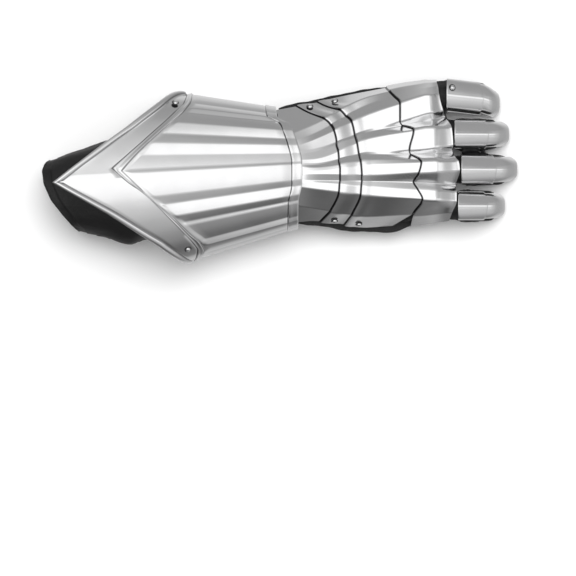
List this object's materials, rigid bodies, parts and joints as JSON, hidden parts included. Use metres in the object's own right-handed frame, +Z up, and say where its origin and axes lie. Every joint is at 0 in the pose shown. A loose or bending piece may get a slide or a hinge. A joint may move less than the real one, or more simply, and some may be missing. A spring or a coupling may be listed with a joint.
{
  "type": "armoured gauntlet",
  "caption": "Left-hand armoured gauntlet: fluted steel cuff with a raised border, overlapping hand lames, knuckle, finger and thumb plates on a black leather glove, lying palm down.",
  "frame": {"origin": "on the ground under the middle of the whole gauntlet", "axes": "+X towards the fingertips, +Y towards the little finger's side, +Z up, away from the ground the palm faces"},
  "size_m": [0.4045, 0.1579, 0.1182],
  "materials": {
    "steel": "polished",
    "rivet_steel": "polished",
    "leather": "soft black leather with a fine grain"
  },
  "bodies": {
    "root": {"cuff_plate": "steel", "cuff_band": "steel", "lame_1": "steel", "lame_2": "steel", "lame_3": "steel", "knuckle_plate": "steel", "little_plate": "steel", "little_tip": "steel", "ring_plate": "steel", "ring_tip": "steel", "middle_plate": "steel", "middle_tip": "steel", "index_plate": "steel", "index_tip": "steel", "thumb_plate": "steel", "thumb_tip": "steel", "rivet_cuff_little": "rivet_steel", "rivet_cuff_index": "rivet_steel", "rivet_band": "rivet_steel", "rivet_lame_2_little": "rivet_steel", "rivet_lame_2_index": "rivet_steel", "rivet_lame_3_little": "rivet_steel", "rivet_lame_3_index": "rivet_steel", "rivet_little_plate": "rivet_steel", "rivet_thumb_plate": "rivet_steel", "rivet_thumb_tip": "rivet_steel", "glove_cuff_top": "leather", "glove_cuff_under": "leather", "glove_back": "leather", "glove_palm": "leather", "glove_little": "leather", "glove_ring": "leather", "glove_middle": "leather", "glove_index": "leather", "glove_thumb": "leather"}
  },
  "joints": []
}
